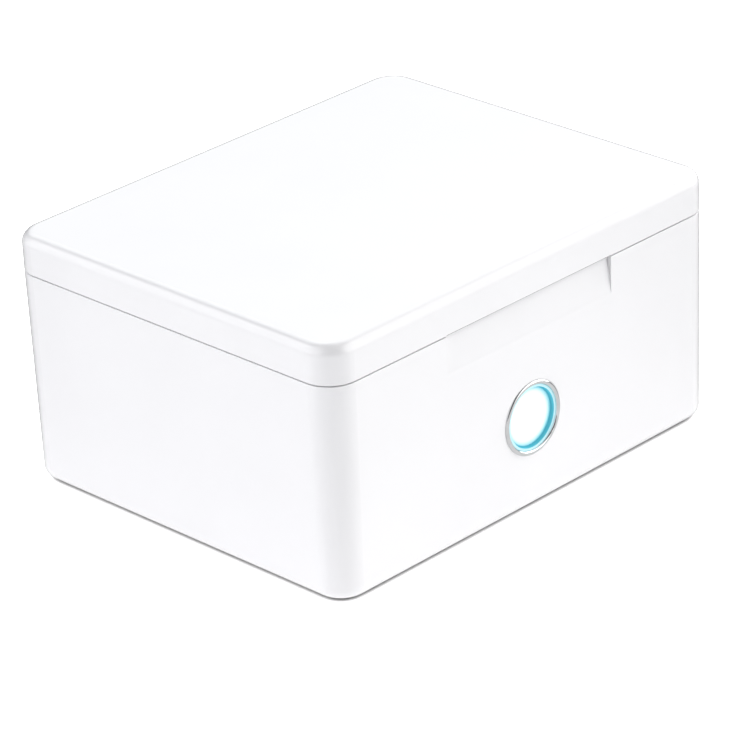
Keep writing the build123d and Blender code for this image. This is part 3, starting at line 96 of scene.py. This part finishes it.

# Painted glow of the button: radii of the glow painted on the cap, their shift from the button's axis, and
# depth in the ring
glow_start = 0.0051
glow_full = 0.0074
glow_shift = (-0.0006, 0.0003)
ring_fade = 0.0004


def direction(azimuth, elevation=0.0):
    """Unit vector at this azimuth and elevation in degrees."""
    turn = math.radians(azimuth)
    rise = math.radians(elevation)
    return Vector((math.sin(turn) * math.cos(rise), -math.cos(turn) * math.cos(rise), math.sin(rise)))


def new_material(name):
    """A node material: the material, its tree and its main shader."""
    material = bpy.data.materials.new(name)
    material.use_nodes = True
    tree = material.node_tree
    return material, tree, tree.nodes["Principled BSDF"]


def dress(material, *names):
    """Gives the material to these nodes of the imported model."""
    for name in names:
        mesh = nodes[name].data
        mesh.materials.clear()
        mesh.materials.append(material)


def object_point(tree):
    """Socket with the point on the piece in metres."""
    return tree.nodes.new("ShaderNodeTexCoord").outputs["Object"]


def coordinates(tree):
    """Sockets with the X, Y and Z of the point on the piece."""
    split = tree.nodes.new("ShaderNodeSeparateXYZ")
    tree.links.new(object_point(tree), split.inputs["Vector"])
    return split.outputs["X"], split.outputs["Y"], split.outputs["Z"]


def noise(tree, size, detail=2.0, stretch=(1, 1, 1)):
    """Socket with a soft noise whose blotches are about this large in metres."""
    mapping = tree.nodes.new("ShaderNodeMapping")
    mapping.inputs["Scale"].default_value = stretch
    tree.links.new(object_point(tree), mapping.inputs["Vector"])
    texture = tree.nodes.new("ShaderNodeTexNoise")
    texture.inputs["Scale"].default_value = 1 / size
    texture.inputs["Detail"].default_value = detail
    tree.links.new(mapping.outputs["Vector"], texture.inputs["Vector"])
    return texture.outputs["Fac"]


def ramp(tree, source, stops):
    """Socket with a colour ramp over the source; stops are (position, colour or grey)."""
    node = tree.nodes.new("ShaderNodeValToRGB")
    node.color_ramp.elements.remove(node.color_ramp.elements[1])
    for index, (position, colour) in enumerate(stops):
        element = node.color_ramp.elements[0] if index == 0 else node.color_ramp.elements.new(position)
        element.position = position
        rgb = colour if isinstance(colour, tuple) else (colour, colour, colour)
        element.color = (*rgb, 1.0)
    tree.links.new(source, node.inputs["Fac"])
    return node.outputs["Color"]


def run(tree, source, low, high, start=0.0, end=1.0, smooth=False):
    """Socket that runs from start where the source is at low to end where it is at high."""
    node = tree.nodes.new("ShaderNodeMapRange")
    node.interpolation_type = "SMOOTHSTEP" if smooth else "LINEAR"
    node.inputs["From Min"].default_value = low
    node.inputs["From Max"].default_value = high
    node.inputs["To Min"].default_value = start
    node.inputs["To Max"].default_value = end
    tree.links.new(source, node.inputs["Value"])
    return node.outputs["Result"]


def combined(tree, operation, first, second):
    """Socket with two values put together by this operation."""
    node = tree.nodes.new("ShaderNodeMath")
    node.operation = operation
    tree.links.new(first, node.inputs[0])
    tree.links.new(second, node.inputs[1])
    return node.outputs["Value"]


def multiplied(tree, first, second):
    """Socket with the product of two colours."""
    node = tree.nodes.new("ShaderNodeMix")
    node.data_type = "RGBA"
    node.blend_type = "MULTIPLY"
    node.inputs["Factor"].default_value = 1.0
    tree.links.new(first, node.inputs["A"])
    tree.links.new(second, node.inputs["B"])
    return node.outputs["Result"]


def length(tree, vector):
    """Socket with the length of a vector."""
    node = tree.nodes.new("ShaderNodeVectorMath")
    node.operation = "LENGTH"
    tree.links.new(vector, node.inputs[0])
    return node.outputs["Value"]


def reach_along(tree, vector, azimuth, elevation=0.0):
    """Socket with how far a vector reaches in this direction."""
    node = tree.nodes.new("ShaderNodeVectorMath")
    node.operation = "DOT_PRODUCT"
    node.inputs[1].default_value = direction(azimuth, elevation)
    tree.links.new(vector, node.inputs[0])
    return node.outputs["Value"]


def chosen(tree, choice, first, second):
    """Socket with the first shader where the choice is 0 and the second where it is 1."""
    node = tree.nodes.new("ShaderNodeMixShader")
    tree.links.new(choice, node.inputs["Fac"])
    tree.links.new(first, node.inputs[1])
    tree.links.new(second, node.inputs[2])
    return node.outputs["Shader"]


def mottle(tree, shader, colour, spread, size):
    """Base colour that drifts by the spread over blotches of this size."""
    low = tuple(channel * (1 - spread) for channel in colour)
    high = tuple(min(channel * (1 + spread), 1.0) for channel in colour)
    tree.links.new(ramp(tree, noise(tree, size), [(0.35, low), (0.65, high)]), shader.inputs["Base Color"])


def uneven_gloss(tree, shader, low, high, size, stretch=(1, 1, 1)):
    """Roughness that drifts between two values over blotches of this size."""
    source = noise(tree, size, 3.0, stretch)
    tree.links.new(ramp(tree, source, [(0.35, low), (0.65, high)]), shader.inputs["Roughness"])


def grain(tree, shader, size, depth, detail=2.0, stretch=(1, 1, 1)):
    """Bump of grains of this size and depth in metres."""
    bump = tree.nodes.new("ShaderNodeBump")
    bump.inputs["Strength"].default_value = 1.0
    bump.inputs["Distance"].default_value = depth
    tree.links.new(noise(tree, size, detail, stretch), bump.inputs["Height"])
    tree.links.new(bump.outputs["Normal"], shader.inputs["Normal"])


def moulded(name, colour, low, high, grain_size, grain_depth):
    """Moulded plastic: a slight drift in colour, gloss from low to high roughness and a fine grain."""
    material, tree, shader = new_material(name)
    mottle(tree, shader, colour, 0.015, 0.02)
    uneven_gloss(tree, shader, low, high, 0.012)
    grain(tree, shader, grain_size, grain_depth)
    return material


def metal(name, colour, low, high, stretch=(1, 1, 1), scratch_size=0.0004, scratch_depth=2e-6):
    """Bare metal with fine scratches, drawn out along the axes whose stretch is small."""
    material, tree, shader = new_material(name)
    shader.inputs["Metallic"].default_value = 1.0
    mottle(tree, shader, colour, 0.04, 0.004)
    uneven_gloss(tree, shader, low, high, 0.0015, stretch)
    grain(tree, shader, scratch_size, scratch_depth, 2.0, stretch)
    return material


def glossy_shell(name):
    """Glossy white moulding with a faint orange peel under a clear coat."""
    material, tree, shader = new_material(name)
    mottle(tree, shader, (0.90, 0.90, 0.915), 0.006, 0.03)
    uneven_gloss(tree, shader, 0.10, 0.15, 0.01)
    grain(tree, shader, 0.0022, 1.0e-6, 1.0)
    shader.inputs["IOR"].default_value = 1.49
    shader.inputs["Coat Weight"].default_value = 1.0
    shader.inputs["Coat Roughness"].default_value = 0.04
    shader.inputs["Coat IOR"].default_value = 1.5
    return material, tree, shader


# Case
case_white, tree, shader = glossy_shell("case_white")
dress(case_white, "base_shell")

# Lid: as the case, with a fine line of shade along its front edge over the finger recess
lid_white, tree, shader = glossy_shell("lid_white")
lid_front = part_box("lid_shell")[0].y + lid_front_depth
lid_edge = min(vertex.co.z for vertex in nodes["lid_shell"].data.vertices if vertex.co.y < lid_front)
x, y, z = coordinates(tree)
sideways = tree.nodes.new("ShaderNodeMath")
sideways.operation = "ABSOLUTE"
tree.links.new(x, sideways.inputs[0])
beside = run(tree, sideways.outputs["Value"], recess_width / 2 - line_height, recess_width / 2)
above = run(tree, z, lid_edge + line_height / 2, lid_edge + line_height)
rearward = run(tree, y, lid_front, lid_front + line_height)
outside_line = combined(tree, "MAXIMUM", combined(tree, "MAXIMUM", beside, above), rearward)
line_shade = ramp(tree, outside_line, [(0.0, line_tone), (1.0, 1.0)])
lid_colour = shader.inputs["Base Color"].links[0].from_socket
tree.links.new(multiplied(tree, lid_colour, line_shade), shader.inputs["Base Color"])
dress(lid_white, "lid_shell")

# Inside: matt white mouldings with a fine spark grain
inner_white = moulded("inner_white", (0.80, 0.80, 0.79), 0.42, 0.55, 0.00035, 6e-6)
dress(inner_white, "bottom_cover", "inner_deck", "lid_liner", "lamp_housing", "lamp_holders")
tub_white = moulded("tub_white", (0.83, 0.83, 0.82), 0.32, 0.42, 0.0005, 4e-6)
dress(tub_white, "drying_chamber", "vent_floor")

# Seal, feet and leads
seal_grey, tree, shader = new_material("seal_silicone")
mottle(tree, shader, (0.62, 0.64, 0.66), 0.03, 0.008)
uneven_gloss(tree, shader, 0.38, 0.50, 0.003)
grain(tree, shader, 0.0006, 4e-6)
shader.inputs["Subsurface Weight"].default_value = 0.25
shader.inputs["Subsurface Scale"].default_value = 0.0012
dress(seal_grey, "lid_seal")
foot_rubber = moulded("foot_rubber", (0.10, 0.10, 0.11), 0.62, 0.78, 0.0003, 1.2e-5)
dress(foot_rubber, "rubber_feet")
lead_black = moulded("lead_black", (0.03, 0.03, 0.033), 0.35, 0.5, 0.0008, 4e-6)
dress(lead_black, "button_lead", "sensor_lead", "fan_lead", "inverter_lead")
wire_red = moulded("wire_red", (0.48, 0.045, 0.03), 0.3, 0.45, 0.0008, 4e-6)
dress(wire_red, "heater_leads")
wire_white = moulded("wire_white", (0.78, 0.76, 0.72), 0.3, 0.45, 0.0008, 4e-6)
dress(wire_white, "lamp_leads")

# Black, ivory and other mouldings
black_plastic = moulded("black_plastic", (0.028, 0.028, 0.03), 0.32, 0.45, 0.0005, 5e-6)
dress(
    black_plastic,
    "fan_frame",
    "fan_impeller",
    "air_duct",
    "bezel_nut",
    "power_jack",
    "tact_switch",
    "controller_chip",
    "buzzer",
    "hall_sensor",
    "inverter_transformer",
)
plunger_plastic = moulded("plunger_plastic", (0.55, 0.12, 0.08), 0.3, 0.4, 0.0005, 4e-6)
dress(plunger_plastic, "switch_plunger")
ivory_nylon = moulded("ivory_nylon", (0.80, 0.77, 0.68), 0.35, 0.5, 0.0005, 4e-6)
dress(ivory_nylon, "board_connectors", "inverter_connectors", "button_connector")
heater_ceramic = moulded("heater_ceramic", (0.70, 0.67, 0.61), 0.6, 0.8, 0.0004, 1e-5)
dress(heater_ceramic, "heater_bars", "thermal_fuse")
capacitor_sleeve = moulded("capacitor_sleeve", (0.03, 0.035, 0.09), 0.18, 0.28, 0.001, 3e-6)
dress(capacitor_sleeve, "capacitors")

# Metals and magnets
chrome = metal("bezel_chrome", (0.80, 0.81, 0.82), 0.05, 0.09, scratch_size=0.002, scratch_depth=4e-7)
dress(chrome, "button_bezel")
screw_steel = metal("screw_steel", (0.56, 0.56, 0.57), 0.28, 0.42)
dress(screw_steel, "case_screws", "board_screws", "fan_screws", "lid_screws")
pin_steel = metal("pin_steel", (0.62, 0.62, 0.63), 0.15, 0.25, (0.05, 1, 1))
dress(pin_steel, "hinge_pins")
shaft_steel = metal("shaft_steel", (0.62, 0.62, 0.63), 0.12, 0.2, (1, 1, 0.05))
dress(shaft_steel, "fan_shaft")
contact_tin = metal("contact_tin", (0.74, 0.72, 0.68), 0.2, 0.35, (1, 0.1, 1))
dress(contact_tin, "jack_pin")
brushed_aluminium = metal("brushed_aluminium", (0.80, 0.81, 0.82), 0.16, 0.34, (0.03, 1, 1), 0.0006, 3e-6)
dress(brushed_aluminium, "lid_reflector", "lamp_reflector", "heater_core")
lamp_cap_metal = metal("lamp_cap_metal", (0.75, 0.75, 0.76), 0.2, 0.3, (1, 0.2, 0.2))
dress(lamp_cap_metal, "lamp_caps")
bearing_bronze = metal("bearing_bronze", (0.55, 0.36, 0.20), 0.35, 0.55)
dress(bearing_bronze, "fan_bearing")
core_steel = metal("core_steel", (0.35, 0.35, 0.36), 0.35, 0.5, (0.02, 0.02, 1), 0.0005, 2e-5)
dress(core_steel, "fan_stator")
coil_copper = metal("coil_copper", (0.60, 0.28, 0.13), 0.25, 0.4, (0.02, 0.02, 1), 0.0003, 3e-5)
dress(coil_copper, "stator_coils")
magnet_nickel = metal("magnet_nickel", (0.66, 0.64, 0.60), 0.14, 0.24)
dress(magnet_nickel, "base_magnets", "lid_magnets", "sensor_magnet")
magnet_ferrite = moulded("magnet_ferrite", (0.05, 0.05, 0.055), 0.5, 0.7, 0.0004, 1e-5)
dress(magnet_ferrite, "rotor_magnet")

# Circuit boards: green mask with a lattice of lighter tracks
board_green, tree, shader = new_material("board_green")
tracks = tree.nodes.new("ShaderNodeTexBrick")
tracks.inputs["Scale"].default_value = 260.0
tracks.inputs["Mortar Size"].default_value = 0.03
tracks.inputs["Color1"].default_value = (0.010, 0.105, 0.045, 1)
tracks.inputs["Color2"].default_value = (0.013, 0.130, 0.055, 1)
tracks.inputs["Mortar"].default_value = (0.030, 0.210, 0.090, 1)
tree.links.new(object_point(tree), tracks.inputs["Vector"])
tree.links.new(tracks.outputs["Color"], shader.inputs["Base Color"])
uneven_gloss(tree, shader, 0.22, 0.32, 0.004)
dress(board_green, "main_board", "inverter_board", "button_board")

# Lamp tube in its housing behind the chamber: clear glass
lamp_glass, tree, shader = new_material("lamp_glass")
shader.inputs["Base Color"].default_value = (0.93, 0.96, 1.0, 1)
shader.inputs["Transmission Weight"].default_value = 1.0
shader.inputs["IOR"].default_value = 1.46
uneven_gloss(tree, shader, 0.015, 0.05, 0.006, (0.2, 1, 1))
dress(lamp_glass, "uv_lamp")

# Small lamps behind the button
lamp_diode, tree, shader = new_material("lamp_diode")
mottle(tree, shader, (0.75, 0.82, 0.70), 0.03, 0.001)
uneven_gloss(tree, shader, 0.1, 0.2, 0.001)
shader.inputs["Emission Color"].default_value = (0.12, 0.62, 0.80, 1)
shader.inputs["Emission Strength"].default_value = 1.5
dress(lamp_diode, "ring_leds")

# Button cap: white, with the glow of the lamps behind it painted into its colour and emission along its rim,
# least of all at its upper left
cap_white, tree, shader = new_material("cap_white")
bezel_low, bezel_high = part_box("button_bezel")
button_centre = (bezel_low + bezel_high) / 2
from_middle = tree.nodes.new("ShaderNodeVectorMath")
from_middle.operation = "SUBTRACT"
from_middle.inputs[1].default_value = (button_centre.x + glow_shift[0], 0, button_centre.z + glow_shift[1])
tree.links.new(object_point(tree), from_middle.inputs[0])
flattened = tree.nodes.new("ShaderNodeVectorMath")
flattened.operation = "MULTIPLY"
flattened.inputs[1].default_value = (1, 0, 1)
tree.links.new(from_middle.outputs["Vector"], flattened.inputs[0])
# Painted glow: the cap's colour turns cyan and it glows towards its rim, around a centre shifted off the
# button's axis
rim = run(tree, length(tree, flattened.outputs["Vector"]), glow_start, glow_full)
cap_painted_glow_colours = [
    (0.0, (0.93, 0.93, 0.94)),
    (0.45, (0.78, 0.90, 0.92)),
    (0.8, (0.28, 0.64, 0.72)),
    (1.0, (0.07, 0.40, 0.50)),
]
tree.links.new(ramp(tree, rim, cap_painted_glow_colours), shader.inputs["Base Color"])
cap_painted_glow_emission = [(0.0, (0.22, 0.22, 0.22)), (0.5, (0.10, 0.20, 0.22)), (1.0, (0.01, 0.10, 0.13))]
tree.links.new(ramp(tree, rim, cap_painted_glow_emission), shader.inputs["Emission Color"])
shader.inputs["Emission Strength"].default_value = 1.0
uneven_gloss(tree, shader, 0.20, 0.28, 0.003)
grain(tree, shader, 0.001, 1e-6)
dress(cap_white, "power_button")

# Light ring: plastic with the glow of the small lamps behind it painted in as emission, pale at its face and
# a deep cyan further in
light_cyan, tree, shader = new_material("light_cyan")
ring_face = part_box("light_ring")[0].y
_, y, _ = coordinates(tree)
depth = run(tree, y, ring_face, ring_face + ring_fade)
ring_stops = [(0.0, (0.50, 0.74, 0.79)), (0.3, (0.14, 0.50, 0.58)), (1.0, (0.08, 0.42, 0.50))]
tree.links.new(ramp(tree, depth, ring_stops), shader.inputs["Base Color"])
# Painted glow: the ring's emission stands for the lamps' light shining through it
ring_painted_glow = [(0.0, (0.12, 0.22, 0.24)), (0.3, (0.06, 0.24, 0.29)), (1.0, (0.06, 0.24, 0.29))]
tree.links.new(ramp(tree, depth, ring_painted_glow), shader.inputs["Emission Color"])
shader.inputs["Emission Strength"].default_value = 1.0
uneven_gloss(tree, shader, 0.15, 0.25, 0.002)
dress(light_cyan, "light_ring")


def away_from_case(tree, behind, distance, turned, far):
    """Share that grows outward, except straight behind the case, until it is turned and far enough."""
    sideward = run(tree, behind, white_wedge, turned)
    outward = run(tree, distance, grey_start, far)
    return combined(tree, "MULTIPLY", sideward, outward)


# Floor's colour: the table's own, the painted shadow line at the foot and the grey that only the camera sees
floor_white, tree, shader = new_material("floor_white")
shader.inputs["Roughness"].default_value = floor_roughness
shader.inputs["Specular IOR Level"].default_value = floor_specular
shader.inputs["Emission Color"].default_value = (*glow_tint, 1)
ray = tree.nodes.new("ShaderNodeLightPath")
place = object_point(tree)
distance = length(tree, place)
heading = tree.nodes.new("ShaderNodeVectorMath")
heading.operation = "NORMALIZE"
tree.links.new(place, heading.inputs[0])
behind = reach_along(tree, heading.outputs["Vector"], behind_azimuth)
# Painted shadow: the floor's colour and its glow for the camera go dark where the case's foot is close
gap = tree.nodes.new("ShaderNodeAmbientOcclusion")
gap.inputs["Distance"].default_value = foot_shadow_reach
painted_foot_shadow = ramp(tree, gap.outputs["AO"], foot_shadow_stops)
floor_darker = tuple(floor_drift * part for part in floor_colour)
tone = ramp(tree, noise(tree, floor_blotch), [(0.3, floor_darker), (0.7, floor_colour)])
greying = away_from_case(tree, behind, distance, grey_wedge, grey_full)
grey_seen = combined(tree, "MULTIPLY", greying, ray.outputs["Is Camera Ray"])
grey = ramp(tree, grey_seen, [(0.0, 1.0), (1.0, floor_grey)])
tree.links.new(multiplied(tree, multiplied(tree, tone, painted_foot_shadow), grey), shader.inputs["Base Color"])

# Floor's glow: the even glow for the camera, and the pool of light for all other rays
pool = run(tree, distance, glow_near_radius, glow_far_radius, glow_far + glow_near, glow_far, smooth=True)
unlit = away_from_case(tree, behind, distance, white_wedge - unlit_turn, grey_start + unlit_reach)
seen = combined(tree, "MULTIPLY", painted_foot_shadow, run(tree, unlit, 0.0, 1.0, glow_seen, 0.0))
glow = tree.nodes.new("ShaderNodeMix")
tree.links.new(ray.outputs["Is Camera Ray"], glow.inputs["Factor"])
tree.links.new(pool, glow.inputs["A"])
tree.links.new(seen, glow.inputs["B"])
tree.links.new(glow.outputs["Result"], shader.inputs["Emission Strength"])

# Floor in gloss: a plain light, and clear from below, so that the case's underside shows
mirrored = tree.nodes.new("ShaderNodeEmission")
rearward = reach_along(tree, place, behind_azimuth)
brightness = run(tree, rearward, -mirror_turn, mirror_turn, mirrored_in_front, mirrored_behind, smooth=True)
tree.links.new(brightness, mirrored.inputs["Strength"])
from_above = chosen(tree, ray.outputs["Is Glossy Ray"], shader.outputs["BSDF"], mirrored.outputs["Emission"])
facing = tree.nodes.new("ShaderNodeNewGeometry")
clear = tree.nodes.new("ShaderNodeBsdfTransparent")
surface = chosen(tree, facing.outputs["Backfacing"], from_above, clear.outputs["BSDF"])
tree.links.new(surface, tree.nodes["Material Output"].inputs["Surface"])

# Floor
bpy.ops.mesh.primitive_plane_add(size=floor_size)
floor = bpy.context.object
floor.name = "studio_floor"
floor.data.materials.append(floor_white)

# Surround: the dim sky with the soft boxes in it
world = bpy.data.worlds.new("studio_surround")
bpy.context.scene.world = world
world.use_nodes = True
tree = world.node_tree
heading = tree.nodes.new("ShaderNodeTexCoord").outputs["Generated"]
sky = tree.nodes["Background"]
sky.inputs["Color"].default_value = (*sky_tint, 1)
sky.inputs["Strength"].default_value = sky_strength
light = sky.outputs["Background"]
for box_azimuth, box_elevation, full_angle, gone_angle, strength, tint in soft_boxes:
    aim = reach_along(tree, heading, box_azimuth, box_elevation)
    gone = math.cos(math.radians(gone_angle))
    full = math.cos(math.radians(full_angle))
    box = tree.nodes.new("ShaderNodeBackground")
    box.inputs["Color"].default_value = (*tint, 1)
    tree.links.new(run(tree, aim, gone, full, 0.0, strength, smooth=True), box.inputs["Strength"])
    both = tree.nodes.new("ShaderNodeAddShader")
    tree.links.new(light, both.inputs[0])
    tree.links.new(box.outputs["Background"], both.inputs[1])
    light = both.outputs["Shader"]

# Backdrop where the camera looks past the floor
behind = reach_along(tree, heading, behind_azimuth)
shade = run(tree, behind, white_wedge, grey_wedge, 1.0, backdrop_grey, smooth=True)
backdrop = tree.nodes.new("ShaderNodeBackground")
backdrop.inputs["Color"].default_value = (1, 1, 1, 1)
tree.links.new(shade, backdrop.inputs["Strength"])
ray = tree.nodes.new("ShaderNodeLightPath")
surround = chosen(tree, ray.outputs["Is Camera Ray"], light, backdrop.outputs["Background"])
tree.links.new(surround, tree.nodes["World Output"].inputs["Surface"])

# Camera
back = direction(camera_azimuth, camera_elevation)
level_right = direction(camera_azimuth + 90)
upright = Matrix((level_right, back.cross(level_right), back)).transposed()
rolled = upright @ Matrix.Rotation(math.radians(camera_roll), 3, "Z")
camera_data = bpy.data.cameras.new("camera")
camera_data.sensor_width = camera_sensor
camera_data.lens = camera_lens
camera = bpy.data.objects.new("camera", camera_data)
camera.matrix_world = Matrix.Translation(camera_aim + back * camera_distance) @ rolled.to_4x4()
bpy.context.scene.collection.objects.link(camera)
bpy.context.scene.camera = camera
bpy.context.scene.view_settings.view_transform = "Standard"
